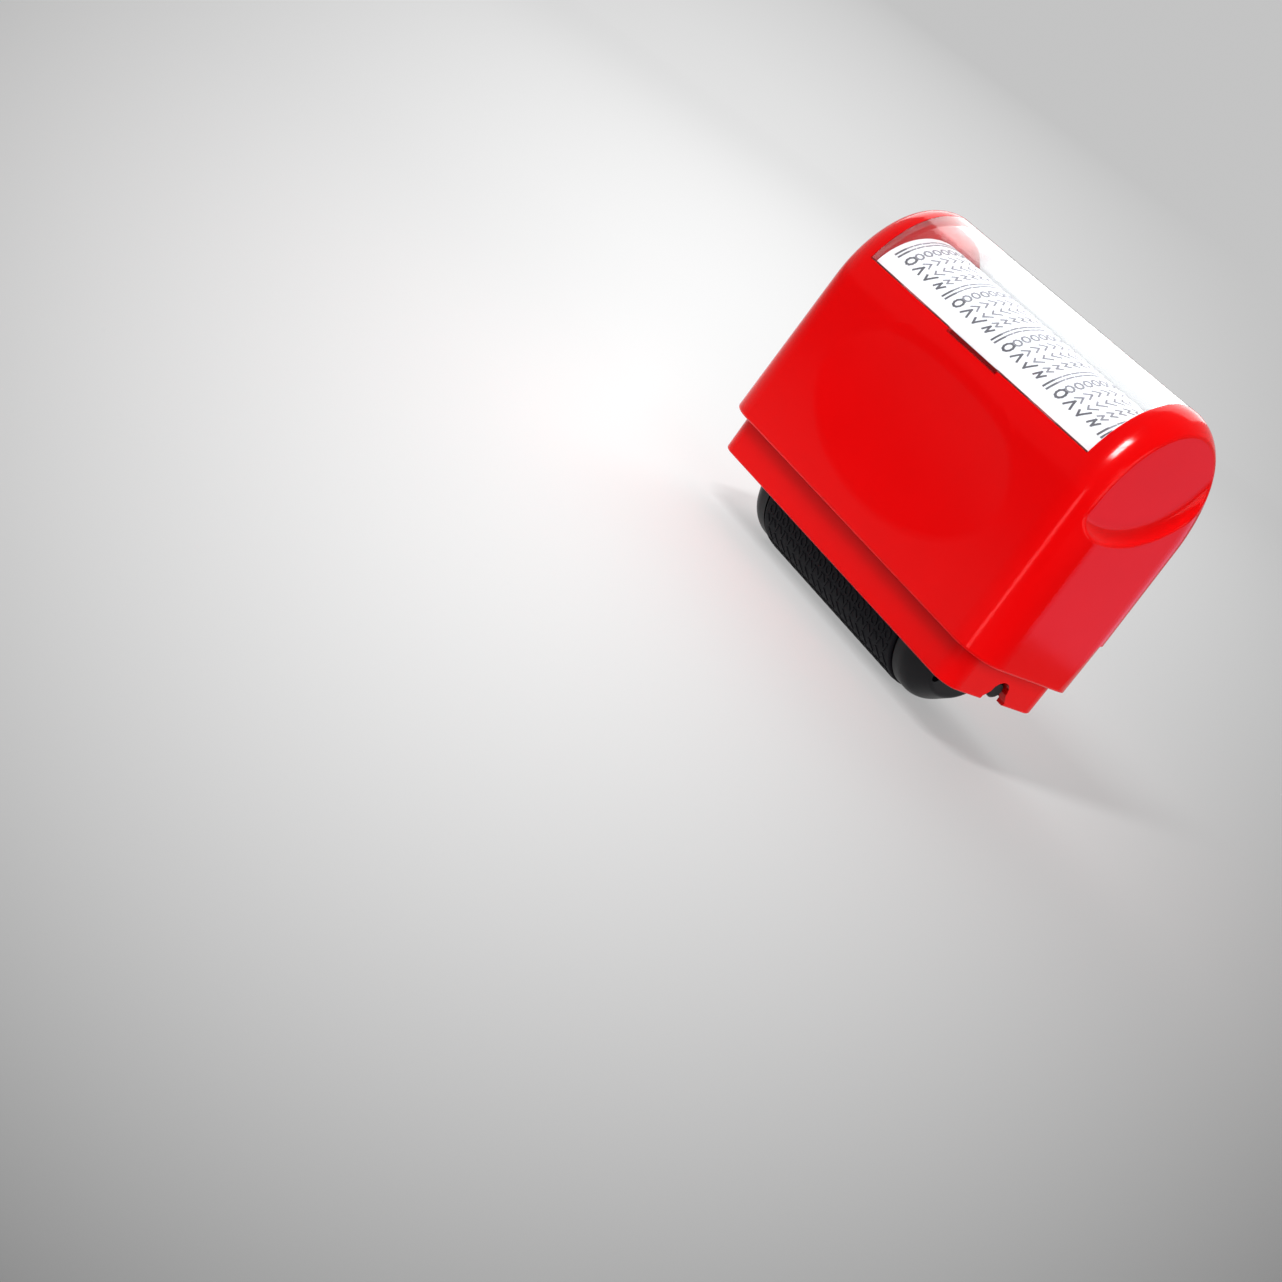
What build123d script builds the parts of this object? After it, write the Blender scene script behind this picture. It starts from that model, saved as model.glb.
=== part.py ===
"""Hand-held privacy roller stamp: a domed housing over a pull-out cartridge with an ink roller.

Frame: X runs along the roller's axle, -Y is the front face, +Z is up through the dome.
The origin is on the ground, under the middle of the roller. All lengths are in millimetres.
"""
import math
import os

from build123d import *

# Roller: the part that prints, and what it is built up from
sleeve_wall = 2.2
core_wall = 1.8
roller_side_gap = 0.6
flange_drop = 0.4
flange_thickness = 2.6
flange_round = 3.0
hub_length = 3.5
hub_radius = 7.0
hub_round = 1.0
spigot_length = 4.0
spigot_wall = 0.9
port_radius = 0.9
port_count = 4
gasket_width = 2.0
gasket_thickness = 0.5

# Axle and what runs on it
axle_radius = 1.5
axle_chamfer = 0.3
axle_end_inset = 0.6
bush_wall = 0.65
bush_collar_width = 1.2
bush_collar_thickness = 0.6
bush_inner_length = 6.0
washer_width = 1.7
washer_thickness = 0.8
clip_thickness = 0.6
clip_depth = 0.4
clip_width = 1.4
clip_mouth = 1.3
bearing_thickness = 2.8
bearing_end_gap = 0.1

# Housing: the outer shell with its dome
body_length = 73.0
body_depth = 28.2
shoulder_height = 27.0
dome_height = 18.7
end_draft = 1.6
end_round = 6.6
lip_above_axle = 4.6
lip_round = 0.5
face_wall = 2.4
end_wall = 3.6
crown_wall = 2.0
cavity_shoulder_drop = 3.0
cavity_round = 4.6
rear_step_height = 9.2
rear_step_depth = 0.9

# Window, the label under it and their seat in the dome
window_end_inset = 8.0
window_above_shoulder = 6.0
cover_wall = 1.4
label_thickness = 0.3
seat_above_shoulder = 3.0
label_side_gap = 0.5
label_crown_gap = 3.4
lug_length = 6.0
lug_thickness = 0.7
lug_depth = 1.6
lug_end_inset = 11.5
lug_inset = 1.05
tab_length = 12.5
tab_proud = 0.3
tab_drop = 0.45

# Grip shapes: the thumb scoops in the ends and the shallow dishes in the faces
scoop_radius = 19.0
scoop_depth = 1.6
scoop_round = 2.6
scoop_edge_round = 0.8
scoop_forward = 8.6
scoop_height = 42.4
dish_end_inset = 13.5
dish_above_lip = 4.5
dish_past_shoulder = 3.5
dish_depth = 0.8
dish_edge_round = 12.0

# Cartridge: the skirt that shows under the housing, and the sleeve inside it
skirt_face_inset = 2.0
skirt_end_inset = 3.3
skirt_height = 6.5
skirt_round = 3.4
skirt_wall = 1.1
skirt_end_wall = 1.5
skirt_edge_round = 0.35
insert_wall = 1.1
bead_height = 0.1
bead_radius = 0.6
bead_length = 30.0
bead_drop = 2.0
notch_radius = 1.9
notch_mouth = 5.8
notch_round = 0.6
guide_rib = 1.5
guide_rib_reach = 1.4
bearing_post_gap = 0.83
bearing_shoulder = 1.5
bearing_head_rise = 2.0
bearing_foot_gap = 0.5
post_radius = 2.0
post_foot = 2.0
guard_gap = 2.2
guard_sink = 4.0
guard_thickness = 1.2
guard_ledge = 0.6
guard_rib_height = 1.0
guard_rib_width = 1.2
guard_rib_count = 5
screw_radius = 0.85
screw_length = 5.0
screw_head_radius = 1.6
screw_head_height = 1.1
screw_slot_width = 0.45
screw_slot_depth = 0.5

# Clearances
fit = 0.03
running_fit = 0.05
running_gap = 0.25
slip = 0.15
seat_gap = 0.1
overrun = 2.0

# How far a face may turn from a flat end and still count as one
flat_share = 0.01

# Across the stamp, from the faces inwards to the roller
skirt_half_depth = body_depth / 2 - skirt_face_inset
sleeve_radius = skirt_half_depth - skirt_wall - roller_side_gap
cover_inner_half_depth = body_depth / 2 - cover_wall
seat_half_depth = cover_inner_half_depth - label_side_gap - label_thickness

# Heights
axle_z = sleeve_radius
lip_z = axle_z + lip_above_axle
shoulder_z = lip_z + shoulder_height
crown_z = shoulder_z + dome_height
dish_height = shoulder_height + dish_past_shoulder - dish_above_lip
dish_z = lip_z + dish_above_lip + dish_height / 2
window_z = shoulder_z + window_above_shoulder
seat_z = shoulder_z + seat_above_shoulder
label_crown_z = crown_z - cover_wall - label_crown_gap
seat_height = label_crown_z - label_thickness - seat_z
skirt_z = lip_z - skirt_height
guard_z = axle_z + sleeve_radius + guard_gap
insert_top_z = guard_z + guard_sink

# The space inside the housing that takes the cartridge
draft_slope = math.tan(math.radians(end_draft))
cavity_half_length = body_length / 2 - end_wall
cavity_half_depth = body_depth / 2 - face_wall
cavity_crown_z = seat_z + seat_height - crown_wall
insert_half_length = cavity_half_length - (insert_top_z - lip_z) * draft_slope - slip
insert_half_depth = cavity_half_depth - slip
insert_round = cavity_round - slip
well_half_length = insert_half_length - skirt_end_wall
well_half_depth = insert_half_depth - insert_wall

# Places along the axle, from the cartridge's end walls inwards
skirt_half_length = body_length / 2 - skirt_end_inset
end_wall_inner = skirt_half_length - skirt_end_wall
axle_half_length = skirt_half_length - axle_end_inset
bearing_outer = well_half_length - bearing_end_gap
bearing_inner = bearing_outer - bearing_thickness
clip_end = bearing_inner - running_gap
clip_start = clip_end - clip_thickness
washer_end = clip_start - running_fit
washer_start = washer_end - washer_thickness
collar_end = washer_start - running_gap
hub_end = collar_end - bush_collar_thickness
flange_outer = hub_end - hub_length
flange_inner = flange_outer - flange_thickness
sleeve_end = flange_inner - gasket_thickness

# Lengths of what the body's length carries
window_length = body_length - 2 * window_end_inset
lug_spacing = window_length - 2 * lug_end_inset
dish_length = body_length - 2 * dish_end_inset

# Radii, from the axle outwards
bush_bore = axle_radius + running_fit
bush_radius = bush_bore + bush_wall
flange_bore = bush_radius + fit
spigot_radius = flange_bore + spigot_wall
core_bore = spigot_radius + fit
core_radius = core_bore + core_wall
felt_bore = core_radius + fit
sleeve_bore = sleeve_radius - sleeve_wall
felt_radius = sleeve_bore - fit
flange_radius = sleeve_radius - flange_drop
port_circle = core_radius + port_radius
gasket_radius = flange_radius - flange_drop
groove_radius = axle_radius - clip_depth

# The corners of the cartridge, where its screws stand, and the bearing blocks between them
guard_corner = insert_round - insert_wall + guard_ledge
screw_inset = guard_corner - (guard_corner - screw_head_radius - slip) / math.sqrt(2)
post_x = well_half_length + guard_ledge - screw_inset
post_y = well_half_depth + guard_ledge - screw_inset
bearing_head_half_width = post_y - post_radius - bearing_post_gap
bearing_half_width = bearing_head_half_width - bearing_shoulder


def ring(outer, inner, start, end):
    """A tube about the axle, from one place along it to another."""
    at_start = Plane(origin=(start, 0, axle_z), z_dir=(1, 0, 0))
    section = Circle(outer) - Circle(inner)
    return extrude(at_start * section, amount=end - start)


def rod(radius, start, end):
    """A solid cylinder about the axle."""
    at_start = Plane(origin=(start, 0, axle_z), z_dir=(1, 0, 0))
    return extrude(at_start * Circle(radius), amount=end - start)


def block(x_low, x_high, y_low, y_high, z_low, z_high):
    """A box given by its two corners."""
    size_x = x_high - x_low
    size_y = y_high - y_low
    size_z = z_high - z_low
    middle = Pos((x_low + x_high) / 2, (y_low + y_high) / 2, (z_low + z_high) / 2)
    return middle * Box(size_x, size_y, size_z)


def other_end(solid):
    """The same solid at the left end."""
    return mirror(solid, about=Plane.YZ)


def arch_section(half_depth, base_z, spring_z, rise):
    """Straight sides under half an ellipse, across the stamp."""
    sides = Polyline(
        (half_depth, spring_z),
        (half_depth, base_z),
        (-half_depth, base_z),
        (-half_depth, spring_z),
    )
    dome = EllipticalCenterArc((0, spring_z), half_depth, rise, arc_size=180)
    return make_face(Plane.YZ * (sides + dome))


def domed_form(half_length, half_depth, base_z, spring_z, rise, corner):
    """A domed block whose ends lean in by the draft and round over into its faces."""
    form = extrude(arch_section(half_depth, base_z, spring_z, rise), amount=half_length, both=True)
    top_z = spring_z + rise
    top_half_length = half_length - (top_z - base_z) * draft_slope
    side_view = Polyline(
        (-half_length, base_z),
        (half_length, base_z),
        (top_half_length, top_z),
        (-top_half_length, top_z),
        close=True,
    )
    drafted = extrude(make_face(Plane.XZ * side_view), amount=half_depth + overrun, both=True)
    form = form & drafted
    flattest = math.cos(math.radians(end_draft)) - flat_share
    ends = [face for face in form.faces() if abs(face.normal_at().X) > flattest]
    rims = [edge for face in ends for edge in face.edges() if edge.center().Z > base_z + corner / 2]
    return fillet(rims, corner)


def face_dish():
    """The barrel that hollows the front face for the thumb."""
    across = ((dish_length / 2) ** 2 + dish_depth**2) / (2 * dish_depth)
    along = ((dish_height / 2) ** 2 + dish_depth**2) / (2 * dish_depth)
    face_y = -body_depth / 2
    reach = dish_length / 2 + overrun
    edge_sink = across - math.sqrt(across**2 - reach**2)
    centre_y = face_y + dish_depth - along
    profile = ThreePointArc(
        (-reach, along - edge_sink),
        (0, along),
        (reach, along - edge_sink),
    ) + Polyline(
        (reach, along - edge_sink),
        (reach, 0),
        (-reach, 0),
        (-reach, along - edge_sink),
    )
    barrel = revolve(make_face(profile), axis=Axis.X)
    return Pos(0, centre_y, dish_z) * barrel


def end_scoop():
    """The round scoop in the right end, sunk parallel to it and open over the end's rounding."""
    face_x = body_length / 2 - scoop_height * draft_slope
    tool = extrude(Circle(scoop_radius), amount=scoop_depth + end_round)
    tool = fillet(tool.edges().group_by(Axis.Z)[0], scoop_round)
    middle = (face_x - scoop_depth, -scoop_forward, lip_z + scoop_height)
    return Plane(origin=middle, x_dir=(0, 1, 0), z_dir=(1, 0, draft_slope)) * tool


def rounded_cut(solid, tool, radius):
    """Takes a tool's shape out of a solid and rounds over the rim that it leaves."""
    cut = solid - tool
    rim = [edge for edge in new_edges(solid, tool, combined=cut) if edge.geom_type != GeomType.LINE]
    return fillet(rim, radius)


def rear_step():
    """The slice that sets the lower rear face and its corners in."""
    outline = RectangleRounded(body_length, body_depth, end_round)
    top_z = lip_z + rear_step_height
    footprint = Pos(0, -rear_step_depth, lip_z - overrun) * outline
    kept = extrude(footprint, amount=top_z - lip_z + 2 * overrun)
    corner_y = body_depth / 2 - end_round - rear_step_depth
    band = block(-body_length, body_length, corner_y, body_depth, lip_z - overrun, top_z)
    return band - kept


def cover_edge_y():
    """How far out the dome's face is at the cover's lower edge."""
    edge_rise = window_z - shoulder_z
    return body_depth / 2 * math.sqrt(1 - (edge_rise / dome_height) ** 2)


def lug_places():
    """Where the cover's lugs go down into the housing."""
    lug_y = cover_edge_y() - lug_inset
    return [(side * lug_spacing / 2, face * lug_y) for side in (-1, 1) for face in (-1, 1)]


def lugs(gap):
    """The cover's four lugs, or their pockets when a gap is given."""
    solids = []
    for place_x, place_y in lug_places():
        half_length = lug_length / 2 + gap
        half_thickness = lug_thickness / 2 + gap
        solids.append(
            block(
                place_x - half_length,
                place_x + half_length,
                place_y - half_thickness,
                place_y + half_thickness,
                window_z - lug_depth - gap,
                window_z + cover_wall,
            )
        )
    return solids


def pry_tab(gap):
    """The small lip at the cover's front edge that a fingernail lifts, or its nick."""
    edge_y = cover_edge_y()
    return block(
        -tab_length / 2 - gap,
        tab_length / 2 + gap,
        -edge_y - tab_proud - gap,
        -edge_y + cover_wall / 2,
        window_z - tab_drop - gap,
        window_z + tab_drop,
    )


def make_housing():
    """The red outer shell."""
    shell = domed_form(body_length / 2, body_depth / 2, lip_z, shoulder_z, dome_height, end_round)
    lip_edges = shell.faces().sort_by(Axis.Z)[0].edges()
    shell = fillet(lip_edges, lip_round)
    scoop = end_scoop()
    dish = face_dish()
    for tool in (scoop, other_end(scoop)):
        shell = rounded_cut(shell, tool, scoop_edge_round)
    for tool in (dish, mirror(dish, about=Plane.XZ)):
        shell = rounded_cut(shell, tool, dish_edge_round)
    shell -= rear_step()
    cavity_spring_z = shoulder_z - cavity_shoulder_drop
    shell -= domed_form(
        cavity_half_length,
        cavity_half_depth,
        lip_z,
        cavity_spring_z,
        cavity_crown_z - cavity_spring_z,
        cavity_round,
    )
    seat_arch = arch_section(seat_half_depth, window_z - overrun, seat_z, seat_height)
    seat = extrude(seat_arch, amount=body_length, both=True)
    half_window = window_length / 2
    well = block(-half_window, half_window, -body_depth, body_depth, window_z, crown_z + overrun)
    shell -= well - seat
    return shell - [pry_tab(seat_gap), *lugs(seat_gap)]


def make_window():
    """The clear cover that carries the dome's curve across the top."""
    outer = arch_section(body_depth / 2, lip_z, shoulder_z, dome_height)
    inner_rise = dome_height - cover_wall
    inner = arch_section(cover_inner_half_depth, lip_z - overrun, shoulder_z, inner_rise)
    half_length = window_length / 2 - seat_gap
    cover = extrude(outer - inner, amount=half_length, both=True)
    cover &= block(-half_length, half_length, -body_depth, body_depth, window_z, crown_z + overrun)
    cover += lugs(0)
    return cover + pry_tab(0)


def make_label():
    """The card under the window, bent over the flatter arch of its seat."""
    half_length = window_length / 2 - slip
    foot_z = seat_z - overrun
    over_rise = seat_height + label_thickness
    over = arch_section(seat_half_depth + label_thickness, foot_z, seat_z, over_rise)
    under = arch_section(seat_half_depth + fit, foot_z, seat_z, seat_height + fit)
    card = extrude(over - under, amount=half_length, both=True)
    return card & block(-half_length, half_length, -body_depth, body_depth, window_z, crown_z)


def rounded_prism(half_length, half_depth, corner, z_low, z_high):
    """An upright block with rounded plan corners."""
    plan = RectangleRounded(2 * half_length, 2 * half_depth, corner)
    return extrude(Plane.XY.offset(z_low) * plan, amount=z_high - z_low)


def axle_notch():
    """The arch in the skirt's end wall that clears the axle and opens at the rim."""
    mouth_z = skirt_z - overrun
    half_mouth = notch_mouth / 2
    sketch = Pos(0, axle_z) * Circle(notch_radius)
    flare = Polyline(
        (-notch_radius, axle_z),
        (notch_radius, axle_z),
        (half_mouth, skirt_z + notch_round),
        (half_mouth, mouth_z),
        (-half_mouth, mouth_z),
        (-half_mouth, skirt_z + notch_round),
        close=True,
    )
    sketch += make_face(flare)
    return extrude(Plane.YZ * sketch, amount=body_length, both=True)


def post_places():
    """Where the four screws stand, in the corners of the cartridge."""
    return [(side * post_x, face * post_y) for side in (-1, 1) for face in (-1, 1)]


def upright(radius, place_x, place_y, z_low, z_high):
    """An upright cylinder."""
    return Pos(place_x, place_y, z_low) * extrude(Circle(radius), amount=z_high - z_low)


def make_cradle():
    """The cartridge frame: skirt, insert, bearing guides and screw posts in one moulding."""
    skirt = rounded_prism(skirt_half_length, skirt_half_depth, skirt_round, skirt_z, lip_z)
    skirt = fillet(skirt.faces().sort_by(Axis.Z)[0].edges(), skirt_edge_round)
    insert = rounded_prism(insert_half_length, insert_half_depth, insert_round, lip_z, insert_top_z)
    frame = skirt + insert
    lower_well = rounded_prism(
        end_wall_inner,
        skirt_half_depth - skirt_wall,
        skirt_round - skirt_wall,
        skirt_z - overrun,
        lip_z,
    )
    upper_well = rounded_prism(
        well_half_length,
        well_half_depth,
        insert_round - insert_wall,
        lip_z - overrun,
        insert_top_z + overrun,
    )
    guard_seat = rounded_prism(
        well_half_length + guard_ledge,
        well_half_depth + guard_ledge,
        guard_corner,
        guard_z,
        insert_top_z + overrun,
    )
    hollow = frame - lower_well - upper_well - guard_seat
    rib_inner = bearing_outer - guide_rib_reach
    rib_start = bearing_half_width + seat_gap
    for face in (-1, 1):
        near = min(face * rib_start, face * (rib_start + guide_rib))
        far = max(face * rib_start, face * (rib_start + guide_rib))
        rib_top = lip_z + bearing_head_rise - fit
        rib = block(rib_inner, end_wall_inner + fit, near, far, skirt_z + bearing_foot_gap, rib_top)
        hollow += [rib, other_end(rib)]
    posts = [upright(post_radius, x, y, skirt_z + post_foot, guard_z) for x, y in post_places()]
    within = rounded_prism(
        insert_half_length - fit,
        insert_half_depth - fit,
        insert_round,
        skirt_z,
        insert_top_z,
    )
    hollow += [post & within for post in posts]
    hole_radius = screw_radius + fit
    hole_foot = guard_z - screw_length
    hollow -= [upright(hole_radius, x, y, hole_foot, insert_top_z) for x, y in post_places()]
    hollow -= axle_notch()
    bead_y = insert_half_depth + bead_height - bead_radius
    for face in (-1, 1):
        bead_start = (-bead_length / 2, face * bead_y, guard_z - bead_drop)
        bead_place = Plane(origin=bead_start, z_dir=(1, 0, 0))
        hollow += extrude(bead_place * Circle(bead_radius), amount=bead_length)
    return hollow


def make_guard():
    """The plate over the roller that keeps ink out of the housing."""
    half_length = well_half_length + guard_ledge - seat_gap
    half_depth = well_half_depth + guard_ledge - seat_gap
    corner = guard_corner - seat_gap
    top_z = guard_z + guard_thickness
    plate = rounded_prism(half_length, half_depth, corner, guard_z, top_z)
    pitch = 2 * sleeve_end / (guard_rib_count - 1)
    for index in range(guard_rib_count):
        rib_x = -sleeve_end + index * pitch
        plate += block(
            rib_x - guard_rib_width / 2,
            rib_x + guard_rib_width / 2,
            -bearing_head_half_width,
            bearing_head_half_width,
            top_z,
            top_z + guard_rib_height,
        )
    plate -= [upright(screw_radius + seat_gap, x, y, guard_z, top_z) for x, y in post_places()]
    return plate


def make_guard_screws():
    """The four slotted screws that hold the guard down."""
    screws = []
    head_z = guard_z + guard_thickness
    for place_x, place_y in post_places():
        shank = upright(screw_radius, place_x, place_y, head_z - screw_length, head_z)
        head = upright(screw_head_radius, place_x, place_y, head_z, head_z + screw_head_height)
        slot = block(
            place_x - screw_head_radius,
            place_x + screw_head_radius,
            place_y - screw_slot_width / 2,
            place_y + screw_slot_width / 2,
            head_z + screw_head_height - screw_slot_depth,
            head_z + screw_head_height,
        )
        screws.append(shank + head - slot)
    return Compound(children=screws)


def make_bearing():
    """The right bearing block: a stem between the guide ribs and a head that rests on them."""
    stem = block(
        bearing_inner,
        bearing_outer,
        -bearing_half_width,
        bearing_half_width,
        skirt_z + bearing_foot_gap,
        guard_z,
    )
    head = block(
        bearing_inner,
        bearing_outer,
        -bearing_head_half_width,
        bearing_head_half_width,
        lip_z + bearing_head_rise,
        guard_z,
    )
    return stem + head - rod(axle_radius + fit, bearing_inner - overrun, bearing_outer + overrun)


def make_axle():
    """The steel pin with a groove for each retaining clip."""
    pin = rod(axle_radius, -axle_half_length, axle_half_length)
    pin = chamfer([pin.edges().sort_by(Axis.X)[0], pin.edges().sort_by(Axis.X)[-1]], axle_chamfer)
    groove = ring(axle_radius + overrun, groove_radius, clip_start - fit, clip_end + fit)
    return pin - groove - other_end(groove)


def make_clip():
    """The right E-shaped retaining clip in its groove."""
    plate = ring(axle_radius + clip_width, groove_radius + fit, clip_start, clip_end)
    mouth = block(
        clip_start - overrun,
        clip_end + overrun,
        -clip_mouth / 2,
        clip_mouth / 2,
        axle_z - axle_radius - clip_width - overrun,
        axle_z,
    )
    return plate - mouth


def make_washer():
    """The right thrust washer between clip and bush."""
    return ring(axle_radius + washer_width, axle_radius + fit, washer_start, washer_end)


def make_bush():
    """The right collared bush that turns on the axle."""
    barrel = ring(bush_radius, bush_bore, hub_end - bush_inner_length, hub_end)
    return barrel + ring(bush_radius + bush_collar_width, bush_bore, hub_end, collar_end)


def make_flange():
    """The right end flange: a rim that rounds into a blunt nose, a spigot and ports for ink."""
    base = Plane(origin=(flange_outer, 0, axle_z), z_dir=(1, 0, 0))
    tip = Plane(origin=(hub_end, 0, axle_z), z_dir=(1, 0, 0))
    nose = loft([base * Circle(flange_radius), tip * Circle(hub_radius)])
    flange = rod(flange_radius, flange_inner, flange_outer) + nose
    circles = flange.edges().filter_by(GeomType.CIRCLE).sort_by(Axis.X)
    flange = fillet(circles[-2], flange_round)
    tip_edge = flange.edges().filter_by(GeomType.CIRCLE).sort_by(Axis.X)[-1]
    flange = fillet(tip_edge, hub_round)
    flange += rod(spigot_radius, flange_inner - spigot_length, flange_inner)
    flange -= rod(flange_bore, flange_inner - spigot_length - overrun, hub_end + overrun)
    for index in range(port_count):
        angle = 2 * math.pi * (index + 1 / 2) / port_count
        port_y = port_circle * math.cos(angle)
        port_z = axle_z + port_circle * math.sin(angle)
        port_place = Plane(origin=(flange_inner - overrun, port_y, port_z), z_dir=(1, 0, 0))
        port = port_place * Circle(port_radius)
        flange -= extrude(port, amount=hub_end - flange_inner + 2 * overrun)
    return flange


def make_gasket():
    """The right ring that seals the flange to the printing sleeve."""
    return ring(gasket_radius, gasket_radius - gasket_width, sleeve_end, flange_inner)


def make_core():
    """The spool that carries the ink felt."""
    return ring(core_radius, core_bore, -flange_inner, flange_inner)


def make_felt():
    """The ink-soaked felt tube."""
    return ring(felt_radius, felt_bore, -sleeve_end, sleeve_end)


def make_sleeve():
    """The porous rubber sleeve that prints."""
    return ring(sleeve_radius, sleeve_bore, -sleeve_end, sleeve_end)


def make_parts():
    """Every sub-part under its own name."""
    parts = {
        "housing": make_housing(),
        "window_cover": make_window(),
        "index_label": make_label(),
        "roller_cradle": make_cradle(),
        "ink_guard": make_guard(),
        "guard_screws": make_guard_screws(),
        "axle": make_axle(),
        "roller_core": make_core(),
        "ink_felt": make_felt(),
        "stamp_sleeve": make_sleeve(),
    }
    paired = {
        "bearing_block": make_bearing,
        "retaining_clip": make_clip,
        "thrust_washer": make_washer,
        "roller_bush": make_bush,
        "end_flange": make_flange,
        "flange_gasket": make_gasket,
    }
    for name, make in paired.items():
        right = make()
        parts[name + "_right"] = right
        parts[name + "_left"] = other_end(right)
    return parts


os.makedirs("parts", exist_ok=True)
for node, solid in make_parts().items():
    export_step(solid, f"parts/{node}.step")
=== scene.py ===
"""Looks of the privacy roller stamp: finishes, printed and raised marks, camera and light."""

import bisect
import math
import random

import bmesh
import bpy
from mathutils import Matrix, Vector


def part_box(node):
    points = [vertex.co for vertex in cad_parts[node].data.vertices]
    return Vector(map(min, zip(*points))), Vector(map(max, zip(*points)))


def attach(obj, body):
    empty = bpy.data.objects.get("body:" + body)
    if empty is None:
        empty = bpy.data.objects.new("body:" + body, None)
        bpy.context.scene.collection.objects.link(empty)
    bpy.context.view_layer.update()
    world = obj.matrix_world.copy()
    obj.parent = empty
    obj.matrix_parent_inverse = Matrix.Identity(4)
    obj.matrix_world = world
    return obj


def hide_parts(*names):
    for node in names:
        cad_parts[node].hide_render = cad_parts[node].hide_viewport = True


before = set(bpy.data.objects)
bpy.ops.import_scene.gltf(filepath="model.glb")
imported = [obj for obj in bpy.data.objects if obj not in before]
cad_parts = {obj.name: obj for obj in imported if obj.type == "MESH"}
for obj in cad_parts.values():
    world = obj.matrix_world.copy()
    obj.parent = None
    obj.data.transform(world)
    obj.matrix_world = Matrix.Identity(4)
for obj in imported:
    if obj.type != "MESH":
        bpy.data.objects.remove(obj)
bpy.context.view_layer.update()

MM = 0.001
random.seed(11)

# Card: the arch that it is bent over, in millimetres
CARD_HALF_DEPTH = 12.2
CARD_SPRING_Z = 45.0
CARD_RISE = 10.9
CARD_STEPS = 400

# Print on the card, in millimetres: rows that run back from a bold mark near the front edge
ROW_COUNT = 21
ROW_PITCH = 2.65
BOLD_FROM_EDGE = 3.7
BOLD_SIZE = (1.75, 1.5)
BOLD_STROKE = 0.40
FINE_COUNT = 11
FINE_PITCH = 1.62
FINE_SIZE = (1.15, 1.5)
FINE_STROKE = 0.32
FINE_SHIFT = 0.08
INK_SINK = 0.02
INK_RISE = 0.03
STROKE_STEP = 0.5

# Printing sleeve and the raised marks on it, in millimetres
SLEEVE_BORE = 8.2
SLEEVE_SINK = 0.11
SLEEVE_EDGE = 0.35
SLEEVE_EDGE_MIDDLE_SHARE = 0.3
SLEEVE_SEGMENTS = 160
RELIEF_ROWS = 26
RELIEF_PITCH = 1.9
RELIEF_SIZE = (1.75, 1.3)
RELIEF_STROKE = 0.34
RELIEF_MARGIN = 0.8

# The marks: strokes, in shares of a mark's size to each side of its middle
RING_SIDES = 10
RING_TURNS = [2 * math.pi * step / RING_SIDES for step in range(RING_SIDES + 1)]
MARK_SHARES = {
    "bars": [[(-0.5, -0.28), (0.5, -0.28)], [(-0.5, 0.28), (0.5, 0.28)]],
    "ring": [[(0.5 * math.cos(turn), 0.5 * math.sin(turn)) for turn in RING_TURNS]],
    "chevron": [[(-0.5, -0.5), (0.35, 0.0), (-0.5, 0.5)]],
    "tick": [[(0.0, -0.5), (-0.5, -0.1), (0.5, 0.5)]],
    "wave": [[(-0.3, -0.5), (0.35, -0.2), (-0.35, 0.15), (0.3, 0.5)]],
}
MARK_ORDER = list(MARK_SHARES)

# Painted shade: the red darkens where walls are near, as under the lip and in recesses: how near in
# millimetres, over which open shares, to which red
RED_SHADE_REACH = 3.0
RED_OPEN_SHARES = (0.5, 0.97)
RED_PAINTED_SHADE = (0.45, 0.0006, 0.001)

# Marks of turning run round X: they are fine along it and drawn out across it
TURNED_STRETCH = (6.0, 0.4, 0.4)

# The camera, fitted to the photograph, in millimetres and degrees
CAMERA_PLACE = Vector((217.2, -270.0, 88.3))
CAMERA_TARGET = Vector((-32.4, 0.0, -30.5))
CAMERA_ROLL = 35.94
CAMERA_LENS = 61.86
CAMERA_SENSOR = 36.0
CAMERA_NEAREST = 10.0
CAMERA_FARTHEST = 50000.0

# Soft boxes, in millimetres, degrees and watts; the bearing is counted from the front to the right
LIGHT_TARGET = Vector((0.0, 0.0, 30.0))
WHITE = (1.0, 1.0, 1.0)
PINK = (1.0, 0.58, 0.92)
SOFT_BOXES = {
    "key": dict(bearing=2.0, rise=54.0, reach=400.0, size=(40.0, 160.0), power=0.87, mirrored=False),
    "back_left": dict(bearing=-130.0, rise=41.0, reach=500.0, size=(500.0, 500.0), power=2.0),
    "right": dict(bearing=80.0, rise=5.0, reach=600.0, size=(600.0, 450.0), power=2.9),
}

# Glints: soft boxes that light nothing and show only in the polished red
POLISHED = ("housing", "roller_cradle")
GLINTS = {
    "end_glow": dict(bearing=142.4, rise=0.0, reach=137.6, size=(130.0, 60.0), power=0.030, colour=PINK),
    "spot": dict(bearing=16.0, rise=39.0, reach=429.0, size=(90.0, 140.0), power=8.0),
    "ridge": dict(bearing=36.5, rise=-5.0, reach=95.0, size=(9.0, 50.0), power=0.012),
}

# Grey levels of the surround, as seen and as it lights
SURROUND = 0.55
FILL = 0.26

# The floor, in metres: its tone fades into the surround, and its own glow grows, over these reaches
FLOOR_HALF_SIZE = 12.0
FLOOR_FAR_REACH = (0.8, 4.0)
FLOOR_GLOW_SHARES = (0.5, 1.0)
FLOOR_GLOW_REACH = (0.20, 0.60)

# The painted pool of light on the floor, in metres: it widens with the distance along its own turned
# axes, and its tone falls from pale to dark by the rate along each
POOL_PLACE = (-0.0697, 0.0006, 0.0)
POOL_TURN = 136.6
POOL_WIDENING = (2.364, -0.159, 0.0)
POOL_NARROWEST = 0.2
POOL_RATES = (1.267, 5.787, 0.0)
POOL_REACH = 1.25
POOL_PALE = 0.955
POOL_DARK = 0.205

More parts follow.
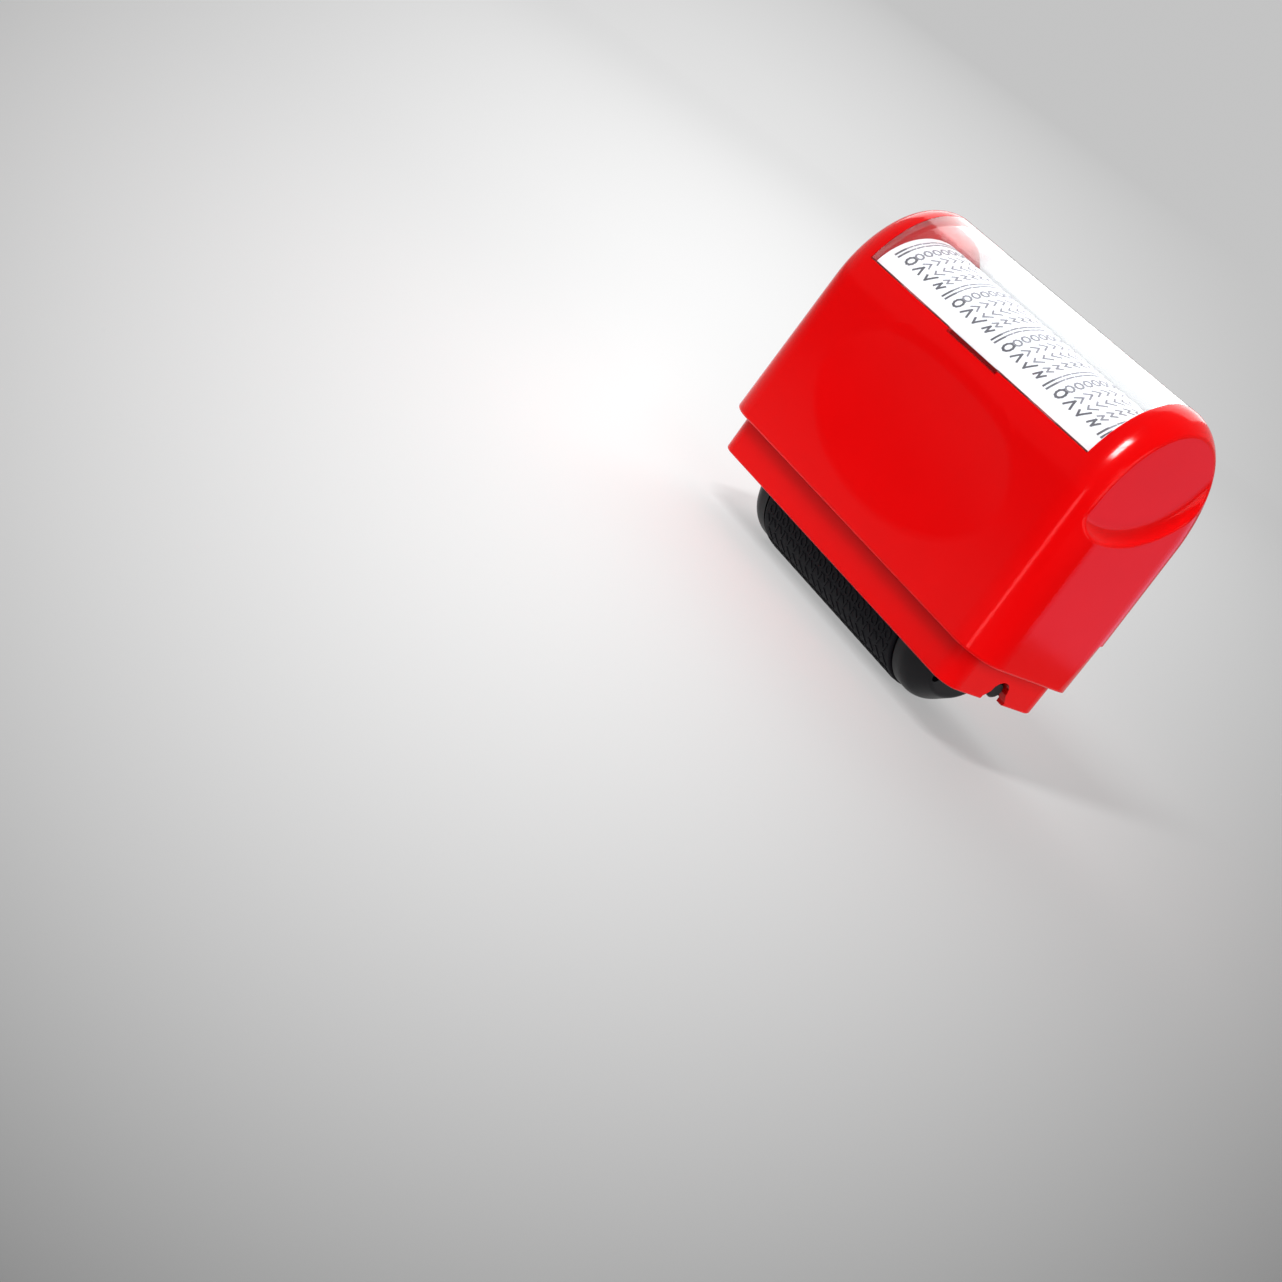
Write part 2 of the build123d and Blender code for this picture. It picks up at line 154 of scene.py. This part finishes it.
# Sockets of a Mix node that blends colours
MIX_SHARE = 0
MIX_FIRST = 6
MIX_SECOND = 7
MIX_RESULT = 2


def neutral(level):
    """The grey of a level, as a colour."""
    return (level, level, level)


class Nodes:
    """A tree of shader nodes, built one node at a time."""

    def __init__(self, tree):
        self.tree = tree

    def add(self, kind, settings=None, **values):
        """A node with its settings, and its inputs' values under their names."""
        node = self.tree.nodes.new(kind)
        for key, value in (settings or {}).items():
            setattr(node, key, value)
        for key, value in values.items():
            node.inputs[key.replace("_", " ")].default_value = value
        return node

    def link(self, source, target):
        """Joins an output to an input."""
        self.tree.links.new(source, target)

    def give(self, term, target):
        """Gives an input another node's output or a plain value."""
        if isinstance(term, bpy.types.NodeSocket):
            self.link(term, target)
        else:
            target.default_value = term

    def blend(self, share, first, second):
        """A colour between two, by a share; each of the two is a colour or another node's output."""
        node = self.add("ShaderNodeMix", {"data_type": "RGBA"})
        self.link(share, node.inputs[MIX_SHARE])
        for end, target in ((first, node.inputs[MIX_FIRST]), (second, node.inputs[MIX_SECOND])):
            self.give((*end, 1.0) if isinstance(end, tuple) else end, target)
        return node.outputs[MIX_RESULT]

    def spread(self, source, limits=(0.0, 1.0), over=(0.0, 1.0)):
        """A value carried from one range to the limits of another, and stopped there."""
        first, last = over
        low, high = limits
        node = self.add("ShaderNodeMapRange", From_Min=first, From_Max=last, To_Min=low, To_Max=high)
        self.link(source, node.inputs["Value"])
        return node.outputs["Result"]

    def work(self, kind, operation, terms):
        """The outputs of a node that works on terms, each another node's output or a plain value."""
        node = self.add(kind, {"operation": operation})
        for term, target in zip(terms, node.inputs):
            self.give(term, target)
        return node.outputs

    def number(self, operation, *terms):
        """Works out a number from numbers."""
        return self.work("ShaderNodeMath", operation, terms)["Value"]

    def vector(self, operation, *terms):
        """Works out a vector from vectors."""
        return self.work("ShaderNodeVectorMath", operation, terms)["Vector"]

    def measure(self, operation, *terms):
        """Works out a number from vectors."""
        return self.work("ShaderNodeVectorMath", operation, terms)["Value"]

    def seen(self):
        """One for what the camera, gloss and glass see, and nought for what only lights."""
        rays = self.add("ShaderNodeLightPath").outputs
        shown = self.number("MAXIMUM", rays["Is Camera Ray"], rays["Is Glossy Ray"])
        return self.number("MAXIMUM", shown, rays["Is Transmission Ray"])


class Finish(Nodes):
    """A material, built around a Principled shader."""

    def __init__(self, name, **values):
        self.material = bpy.data.materials.new(name)
        self.material.use_nodes = True
        super().__init__(self.material.node_tree)
        self.tree.nodes.clear()
        self.output = self.add("ShaderNodeOutputMaterial")
        self.shader = self.add("ShaderNodeBsdfPrincipled", **values)
        self.link(self.shader.outputs["BSDF"], self.output.inputs["Surface"])
        self.place = self.add("ShaderNodeTexCoord").outputs["Object"]

    def noise(self, scale, detail=2.0, roughness=0.5, stretch=None):
        """Cloudy noise over the object's own coordinates, in cells per metre."""
        source = self.place
        if stretch:
            mapping = self.add("ShaderNodeMapping", Scale=stretch)
            self.link(source, mapping.inputs["Vector"])
            source = mapping.outputs["Vector"]
        noise = self.add("ShaderNodeTexNoise", Scale=scale, Detail=detail, Roughness=roughness)
        self.link(source, noise.inputs["Vector"])
        return noise.outputs["Fac"]

    def cells(self, scale):
        """Cell noise over the object's own coordinates, in cells per metre."""
        cells = self.add("ShaderNodeTexVoronoi", Scale=scale)
        self.link(self.place, cells.inputs["Vector"])
        return cells.outputs["Distance"]

    def colour(self, share, first, second):
        """The base colour, between two by a share."""
        self.link(self.blend(share, first, second), self.shader.inputs["Base Color"])

    def rough(self, share, low, high):
        """The roughness, between two by a share."""
        self.link(self.spread(share, (low, high)), self.shader.inputs["Roughness"])

    def relief(self, *heights):
        """Fine relief: each height is a source and a depth in millimetres."""
        normal = None
        for source, depth in heights:
            node = self.add("ShaderNodeBump", Distance=depth * MM)
            self.link(source, node.inputs["Height"])
            if normal:
                self.link(normal, node.inputs["Normal"])
            normal = node.outputs["Normal"]
        self.link(normal, self.shader.inputs["Normal"])

    def mix_in(self, share, other):
        """Lets another shader take over by a share."""
        mix = self.add("ShaderNodeMixShader")
        for source, target in zip((share, self.shader.outputs["BSDF"], other), mix.inputs):
            self.link(source, target)
        self.link(mix.outputs["Shader"], self.output.inputs["Surface"])


def red_gloss():
    """Polished red ABS: faint flow marks, fine handling scratches, a mould's slight waviness, and
    painted shade where walls are near.
    """
    finish = Finish("red_gloss", Specular_IOR_Level=0.22, Specular_Tint=(1.0, 0.25, 0.25, 1.0))
    flow = finish.noise(90.0, detail=3.0)
    red = finish.blend(flow, (0.81, 0.0008, 0.0012), (0.87, 0.0012, 0.002))
    # Painted shade: ambient occlusion darkens the red towards a deep red where walls are near
    painted_shade_probe = finish.add("ShaderNodeAmbientOcclusion", {"samples": 8}, Distance=RED_SHADE_REACH * MM)
    finish.colour(finish.spread(painted_shade_probe.outputs["AO"], over=RED_OPEN_SHARES), RED_PAINTED_SHADE, red)
    scratches = finish.noise(900.0, stretch=(0.15, 1.0, 2.5))
    finish.rough(scratches, low=0.08, high=0.17)
    waves = finish.noise(260.0, detail=1.0)
    grain = finish.noise(2600.0)
    finish.relief((waves, 0.012), (grain, 0.0012))
    return finish.material


def clear_cover():
    """Clear polycarbonate with a few soft mould waves, under a gloss of its own."""
    finish = Finish(
        "clear_cover",
        Base_Color=(0.97, 0.985, 1.0, 1.0),
        Transmission_Weight=1.0,
        IOR=1.1,
        Coat_Weight=1.0,
        Coat_Roughness=0.12,
    )
    finish.rough(finish.noise(1400.0, detail=3.0), low=0.04, high=0.08)
    finish.relief((finish.noise(110.0, detail=1.0), 0.008))
    through = finish.add("ShaderNodeBsdfTransparent", Color=(0.93, 0.94, 0.95, 1.0))
    shadow = finish.add("ShaderNodeLightPath").outputs["Is Shadow Ray"]
    finish.mix_in(shadow, through.outputs["BSDF"])
    return finish.material


def label_card():
    """Coated white card with a faint fibre grain."""
    finish = Finish("label_card", Specular_IOR_Level=0.4)
    clouds = finish.noise(1500.0, detail=4.0, roughness=0.7)
    finish.colour(clouds, (0.80, 0.805, 0.815), (0.86, 0.86, 0.865))
    finish.rough(finish.noise(3000.0), low=0.45, high=0.62)
    fibres = finish.noise(5200.0, detail=3.0, stretch=(0.4, 1.0, 1.0))
    finish.relief((fibres, 0.01))
    return finish.material


def print_ink(name, dark, pale):
    """Printed ink, patchy where it took unevenly."""
    finish = Finish(name, Specular_IOR_Level=0.3)
    finish.colour(finish.noise(1100.0, detail=3.0, roughness=0.7), dark, pale)
    finish.rough(finish.noise(2400.0), low=0.35, high=0.6)
    return finish.material


def bold_ink():
    """Near-black ink of the bold marks."""
    return print_ink("print_bold", (0.035, 0.032, 0.042), (0.13, 0.12, 0.14))


def fine_ink():
    """Paler ink of the fine marks."""
    return print_ink("print_fine", (0.10, 0.095, 0.115), (0.32, 0.31, 0.35))


def stamp_rubber():
    """Porous printing rubber, damp with black ink."""
    finish = Finish(
        "stamp_rubber",
        Specular_IOR_Level=0.10,
        Sheen_Weight=0.02,
        Sheen_Roughness=0.5,
        Sheen_Tint=(0.62, 0.6, 0.72, 1.0),
    )
    clouds = finish.noise(700.0, detail=4.0, roughness=0.7)
    finish.colour(clouds, (0.0022, 0.0022, 0.004), (0.0055, 0.005, 0.0075))
    finish.rough(finish.noise(1500.0, detail=3.0), low=0.42, high=0.68)
    finish.relief((finish.cells(5200.0), 0.03), (finish.noise(9000.0), 0.012))
    return finish.material


def moulded(name, dark, pale, rough, gloss=0.5):
    """Moulded plastic with a fine spark-eroded grain."""
    finish = Finish(name, Specular_IOR_Level=gloss)
    finish.colour(finish.noise(350.0, detail=3.0), dark, pale)
    finish.rough(finish.noise(1800.0, detail=3.0), *rough)
    finish.relief((finish.noise(5600.0, detail=3.0, roughness=0.6), 0.01))
    return finish.material


def black_plastic():
    """Satin black acetal."""
    dark = (0.004, 0.004, 0.0055)
    pale = (0.008, 0.0075, 0.0095)
    return moulded("black_plastic", dark, pale, rough=(0.28, 0.45), gloss=0.22)


def grey_plastic():
    """Moulded grey polypropylene."""
    return moulded("grey_plastic", (0.36, 0.37, 0.38), (0.45, 0.46, 0.47), rough=(0.35, 0.55))


def ink_felt():
    """Wool felt soaked with black ink."""
    finish = Finish("felt", Specular_IOR_Level=0.2, Sheen_Weight=0.6, Sheen_Roughness=0.6)
    clouds = finish.noise(1300.0, detail=6.0, roughness=0.8)
    finish.colour(clouds, (0.008, 0.008, 0.011), (0.04, 0.04, 0.05))
    finish.rough(finish.noise(900.0, detail=4.0), low=0.75, high=0.95)
    fibres = finish.noise(2600.0, detail=6.0, roughness=0.8, stretch=(0.35, 1.0, 1.0))
    fluff = finish.noise(9000.0, detail=4.0, roughness=0.8)
    finish.relief((fibres, 0.18), (fluff, 0.06))
    return finish.material


def turned(finish, low, high):
    """Roughness and fine relief that turning leaves on a finish."""
    finish.rough(finish.noise(2500.0, detail=3.0, stretch=TURNED_STRETCH), low, high)
    finish.relief((finish.noise(5000.0, stretch=TURNED_STRETCH), 0.004))


def ground_steel():
    """Steel turned and ground across its length."""
    finish = Finish("steel", Metallic=1.0, Anisotropic=0.45)
    finish.colour(finish.noise(700.0, detail=4.0), (0.50, 0.50, 0.52), (0.63, 0.62, 0.62))
    turned(finish, low=0.20, high=0.38)
    return finish.material


def dark_steel():
    """Chemically blackened steel, patchy from dark to a little paler."""
    finish = Finish("dark_steel", Metallic=1.0)
    clouds = finish.noise(900.0, detail=4.0, roughness=0.6)
    finish.colour(clouds, (0.020, 0.020, 0.023), (0.065, 0.064, 0.066))
    turned(finish, low=0.30, high=0.48)
    return finish.material


def sintered_bronze():
    """Oil-filled sintered bronze with open pores."""
    finish = Finish("bush_bronze", Metallic=1.0)
    clouds = finish.noise(1600.0, detail=5.0, roughness=0.7)
    finish.colour(clouds, (0.42, 0.25, 0.10), (0.66, 0.44, 0.20))
    finish.rough(finish.noise(2200.0, detail=3.0), low=0.32, high=0.55)
    finish.relief((finish.cells(7000.0), 0.02))
    return finish.material


def seal_rubber():
    """Moulded nitrile rubber."""
    finish = Finish("seal_rubber", Specular_IOR_Level=0.35)
    finish.colour(finish.noise(800.0, detail=3.0), (0.005, 0.005, 0.005), (0.011, 0.0105, 0.010))
    finish.rough(finish.noise(1700.0, detail=3.0), low=0.55, high=0.8)
    finish.relief((finish.noise(4200.0, detail=3.0), 0.02))
    return finish.material


def new_object(name, shape, material):
    """Makes an object from a bmesh."""
    mesh = bpy.data.meshes.new(name)
    shape.to_mesh(mesh)
    shape.free()
    mesh.materials.append(material)
    made = bpy.data.objects.new(name, mesh)
    bpy.context.scene.collection.objects.link(made)
    return made


def new_piece(name, shape, material, body):
    """Makes a piece of the stamp from a bmesh and lets it ride on a body."""
    bmesh.ops.recalc_face_normals(shape, faces=shape.faces)
    piece = new_object(name, shape, material)
    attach(piece, body)
    return piece


def add_stroke(shape, place, start, end, width, low, high):
    """A closed bar that follows a surface; place(arc, along, height) is a point over the surface."""
    run = Vector(end) - Vector(start)
    along = run.normalized() * width / 2
    side = Vector((-along.y, along.x))
    start = Vector(start) - along
    end = Vector(end) + along
    corners = ((-side, low), (side, low), (side, high), (-side, high))
    steps = math.ceil(abs(end.x - start.x) / STROKE_STEP) or 1
    sections = []
    for step in range(steps + 1):
        middle = start.lerp(end, step / steps)
        section = []
        for offset, height in corners:
            corner = middle + offset
            section.append(shape.verts.new(place(corner.x, corner.y, height)))
        sections.append(section)
    for section, ahead in zip(sections, sections[1:]):
        for index in range(len(corners)):
            after = (index + 1) % len(corners)
            shape.faces.new((section[index], section[after], ahead[after], ahead[index]))
    shape.faces.new(sections[0])
    shape.faces.new(sections[-1])


def add_mark(shape, place, kind, centre, size, width, low, high):
    """One mark, drawn as strokes about a centre on a surface."""
    for line in MARK_SHARES[kind]:
        points = [(centre[0] + arc * size[0], centre[1] + along * size[1]) for arc, along in line]
        for start, end in zip(points, points[1:]):
            add_stroke(shape, place, start, end, width, low, high)


def card_arc():
    """The card's section from its front edge over the top: lists of arc length and angle."""
    edge_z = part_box("index_label")[0][2] / MM
    first = math.asin((edge_z - CARD_SPRING_Z) / CARD_RISE)
    lengths = [0.0]
    angles = [first]
    for step in range(1, CARD_STEPS + 1):
        angle = first + (math.pi - 2 * first) * step / CARD_STEPS
        middle = (angle + angles[-1]) / 2
        speed = math.hypot(CARD_HALF_DEPTH * math.sin(middle), CARD_RISE * math.cos(middle))
        lengths.append(lengths[-1] + speed * (angle - angles[-1]))
        angles.append(angle)
    return lengths, angles


def on_card(lengths, angles):
    """Makes a function for the point at an arc length from the front edge, a place along X, a height."""

    def place(arc, along, height):
        index = min(bisect.bisect_right(lengths, arc), CARD_STEPS) - 1
        share = (arc - lengths[index]) / (lengths[index + 1] - lengths[index])
        angle = angles[index] + share * (angles[index + 1] - angles[index])
        back = -math.cos(angle)
        up = math.sin(angle)
        point = Vector((along, CARD_HALF_DEPTH * back, CARD_SPRING_Z + CARD_RISE * up))
        outward = Vector((0.0, back / CARD_HALF_DEPTH, up / CARD_RISE)).normalized()
        return (point + outward * height) * MM

    return place


def make_print():
    """The print on the card: a column of bold marks at the front, and finer paler ones behind it."""
    place = on_card(*card_arc())
    bold = bmesh.new()
    fine = bmesh.new()
    for row in range(ROW_COUNT):
        kind = MARK_ORDER[row % len(MARK_ORDER)]
        along = (row - (ROW_COUNT - 1) / 2) * ROW_PITCH
        centre = (BOLD_FROM_EDGE, along)
        add_mark(bold, place, kind, centre, BOLD_SIZE, BOLD_STROKE, -INK_SINK, INK_RISE)
        for column in range(1, FINE_COUNT + 1):
            shift = random.uniform(-FINE_SHIFT, FINE_SHIFT)
            centre = (BOLD_FROM_EDGE + column * FINE_PITCH, along + shift)
            add_mark(fine, place, kind, centre, FINE_SIZE, FINE_STROKE, -INK_SINK, INK_RISE)
    new_piece("index_print_bold", bold, bold_ink(), "body_shell")
    new_piece("index_print_fine", fine, fine_ink(), "body_shell")


def round_axle(angle, along, reach, axle_z):
    """The point at an angle round the axle, a place along it and a reach from it."""
    return Vector((along, reach * math.sin(angle), axle_z - reach * math.cos(angle))) * MM


def on_roller(radius, axle_z):
    """Makes a function for the point at an arc length round the roller, a place along X, a height."""

    def place(arc, along, height):
        return round_axle(arc / radius, along, radius + height, axle_z)

    return place


def add_tube(shape, half_length, skin, axle_z):
    """The sleeve's tube, with eased edges."""
    eased = SLEEVE_EDGE * SLEEVE_EDGE_MIDDLE_SHARE
    end = [
        (half_length, SLEEVE_BORE),
        (half_length, skin - SLEEVE_EDGE),
        (half_length - eased, skin - eased),
        (half_length - SLEEVE_EDGE, skin),
    ]
    profile = [(-along, reach) for along, reach in end] + end[::-1]
    angles = [2 * math.pi * step / SLEEVE_SEGMENTS for step in range(SLEEVE_SEGMENTS)]
    rings = []
    for along, reach in profile:
        points = [round_axle(angle, along, reach, axle_z) for angle in angles]
        rings.append([shape.verts.new(point) for point in points])
    for index, ring in enumerate(rings):
        after = rings[(index + 1) % len(rings)]
        for step in range(SLEEVE_SEGMENTS):
            ahead = (step + 1) % SLEEVE_SEGMENTS
            shape.faces.new((ring[step], ring[ahead], after[ahead], after[step]))


def make_sleeve():
    """The printing sleeve with its raised marks, in place of the plain tube."""
    low, high = [Vector(corner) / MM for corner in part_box("stamp_sleeve")]
    axle_z = (high.z + low.z) / 2
    half_length = high.x
    skin = (high.z - low.z) / 2 - SLEEVE_SINK
    shape = bmesh.new()
    add_tube(shape, half_length, skin, axle_z)
    place = on_roller(skin, axle_z)
    columns = int(2 * (half_length - RELIEF_MARGIN) / RELIEF_PITCH)
    row_pitch = 2 * math.pi * skin / RELIEF_ROWS
    for row in range(RELIEF_ROWS):
        kind = MARK_ORDER[row % len(MARK_ORDER)]
        for column in range(columns):
            along = (column - (columns - 1) / 2) * RELIEF_PITCH
            centre = (row * row_pitch, along)
            add_mark(shape, place, kind, centre, RELIEF_SIZE, RELIEF_STROKE, -SLEEVE_SINK, SLEEVE_SINK)
    sleeve = new_piece("sleeve_relief", shape, stamp_rubber(), "roller")
    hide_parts("stamp_sleeve")


def dress(node, material):
    """Gives a carried-over solid its finish."""
    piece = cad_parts[node]
    piece.data.materials.clear()
    piece.data.materials.append(material)


def dress_solids():
    """The finish of every solid but the sleeve."""
    red = red_gloss()
    black = black_plastic()
    grey = grey_plastic()
    steel = ground_steel()
    finishes = {
        "housing": red,
        "roller_cradle": red,
        "window_cover": clear_cover(),
        "index_label": label_card(),
        "ink_guard": grey,
        "roller_core": grey,
        "guard_screws": steel,
        "axle": dark_steel(),
        "ink_felt": ink_felt(),
    }
    paired = {
        "bearing_block": black,
        "end_flange": black,
        "retaining_clip": steel,
        "thrust_washer": steel,
        "roller_bush": sintered_bronze(),
        "flange_gasket": seal_rubber(),
    }
    for name, material in paired.items():
        for side in ("_right", "_left"):
            finishes[name + side] = material
    for node, material in finishes.items():
        dress(node, material)


def facing(place, target):
    """Stands at a place and looks at a target, both in millimetres."""
    turn = (target - place).to_track_quat("-Z", "Y").to_matrix().to_4x4()
    return Matrix.Translation(place * MM) @ turn


def make_camera():
    """The camera at the photograph's place, rolled as the photograph is."""
    data = bpy.data.cameras.new("camera")
    data.lens = CAMERA_LENS
    data.sensor_width = CAMERA_SENSOR
    data.clip_start = CAMERA_NEAREST * MM
    data.clip_end = CAMERA_FARTHEST * MM
    camera = bpy.data.objects.new("camera", data)
    bpy.context.scene.collection.objects.link(camera)
    roll = Matrix.Rotation(math.radians(CAMERA_ROLL), 4, "Z")
    camera.matrix_world = facing(CAMERA_PLACE, CAMERA_TARGET) @ roll
    bpy.context.scene.camera = camera


def soft_box(name, bearing, rise, reach, size, power, colour=WHITE, lights=True, mirrored=True):
    """A rectangular soft box turned to the stamp, which lights, is mirrored in gloss, or both."""
    data = bpy.data.lights.new(name, "AREA")
    data.shape = "RECTANGLE"
    data.size = size[0] * MM
    data.size_y = size[1] * MM
    data.energy = power
    data.color = colour
    box = bpy.data.objects.new(name, data)
    bpy.context.scene.collection.objects.link(box)
    turn = math.radians(bearing)
    lift = math.radians(rise)
    level = math.cos(lift)
    toward = Vector((math.sin(turn) * level, -math.cos(turn) * level, math.sin(lift)))
    box.matrix_world = facing(LIGHT_TARGET + toward * reach, LIGHT_TARGET)
    box.visible_camera = False
    box.visible_diffuse = lights
    box.visible_glossy = mirrored
    return box


def make_lights():
    """The soft boxes round the stamp and the glints."""
    for name, values in SOFT_BOXES.items():
        soft_box(name, **values)
    polished = bpy.data.collections.new("polished")
    for node in POLISHED:
        polished.objects.link(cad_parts[node])
    for name, values in GLINTS.items():
        glint = soft_box(name, lights=False, **values)
        glint.light_linking.receiver_collection = polished


def make_world():
    """A pale grey surround that the camera, gloss and glass see, and a dimmer one that lights."""
    world = bpy.data.worlds.new("world")
    world.use_nodes = True
    nodes = Nodes(world.node_tree)
    tone = nodes.blend(nodes.seen(), neutral(FILL), neutral(SURROUND))
    nodes.link(tone, world.node_tree.nodes["Background"].inputs["Color"])
    bpy.context.scene.world = world


def painted_light_pool(finish):
    """The floor's tone round its painted pool of light."""
    mapping = finish.add("ShaderNodeMapping", {"vector_type": "TEXTURE"}, Location=POOL_PLACE)
    mapping.inputs["Rotation"].default_value = (0.0, 0.0, math.radians(POOL_TURN))
    finish.link(finish.place, mapping.inputs["Vector"])
    place = mapping.outputs["Vector"]
    widening = finish.measure("DOT_PRODUCT", place, POOL_WIDENING)
    width = finish.number("MAXIMUM", finish.number("ADD", widening, 1.0), POOL_NARROWEST)
    narrowed = finish.vector("DIVIDE", place, width)
    reach = finish.measure("LENGTH", finish.vector("MULTIPLY", narrowed, POOL_RATES))
    share = finish.spread(reach, over=(0.0, POOL_REACH))
    return finish.blend(share, neutral(POOL_PALE), neutral(POOL_DARK))


def floor_finish():
    """Pale matt floor with a painted pool of light, fading into the surround and showing part of its
    tone by its own glow.
    """
    finish = Finish("floor", Specular_IOR_Level=0.1, Roughness=0.9)
    distance = finish.measure("LENGTH", finish.place)
    far = finish.spread(distance, over=FLOOR_FAR_REACH)
    # The tone carries a painted pool of light: pale round the pool's place, darker away from it
    tone = finish.blend(far, painted_light_pool(finish), neutral(SURROUND))
    finish.link(tone, finish.shader.inputs["Base Color"])
    glow = finish.add("ShaderNodeEmission")
    finish.link(tone, glow.inputs["Color"])
    share = finish.spread(distance, FLOOR_GLOW_SHARES, over=FLOOR_GLOW_REACH)
    finish.mix_in(finish.number("MULTIPLY", share, finish.seen()), glow.outputs["Emission"])
    return finish.material


def make_floor():
    """A wide flat floor under the roller."""
    shape = bmesh.new()
    bmesh.ops.create_grid(shape, x_segments=1, y_segments=1, size=FLOOR_HALF_SIZE)
    floor = new_object("floor", shape, floor_finish())


dress_solids()
make_sleeve()
make_print()
make_camera()
make_lights()
make_world()
make_floor()
bpy.context.scene.view_settings.view_transform = "Standard"
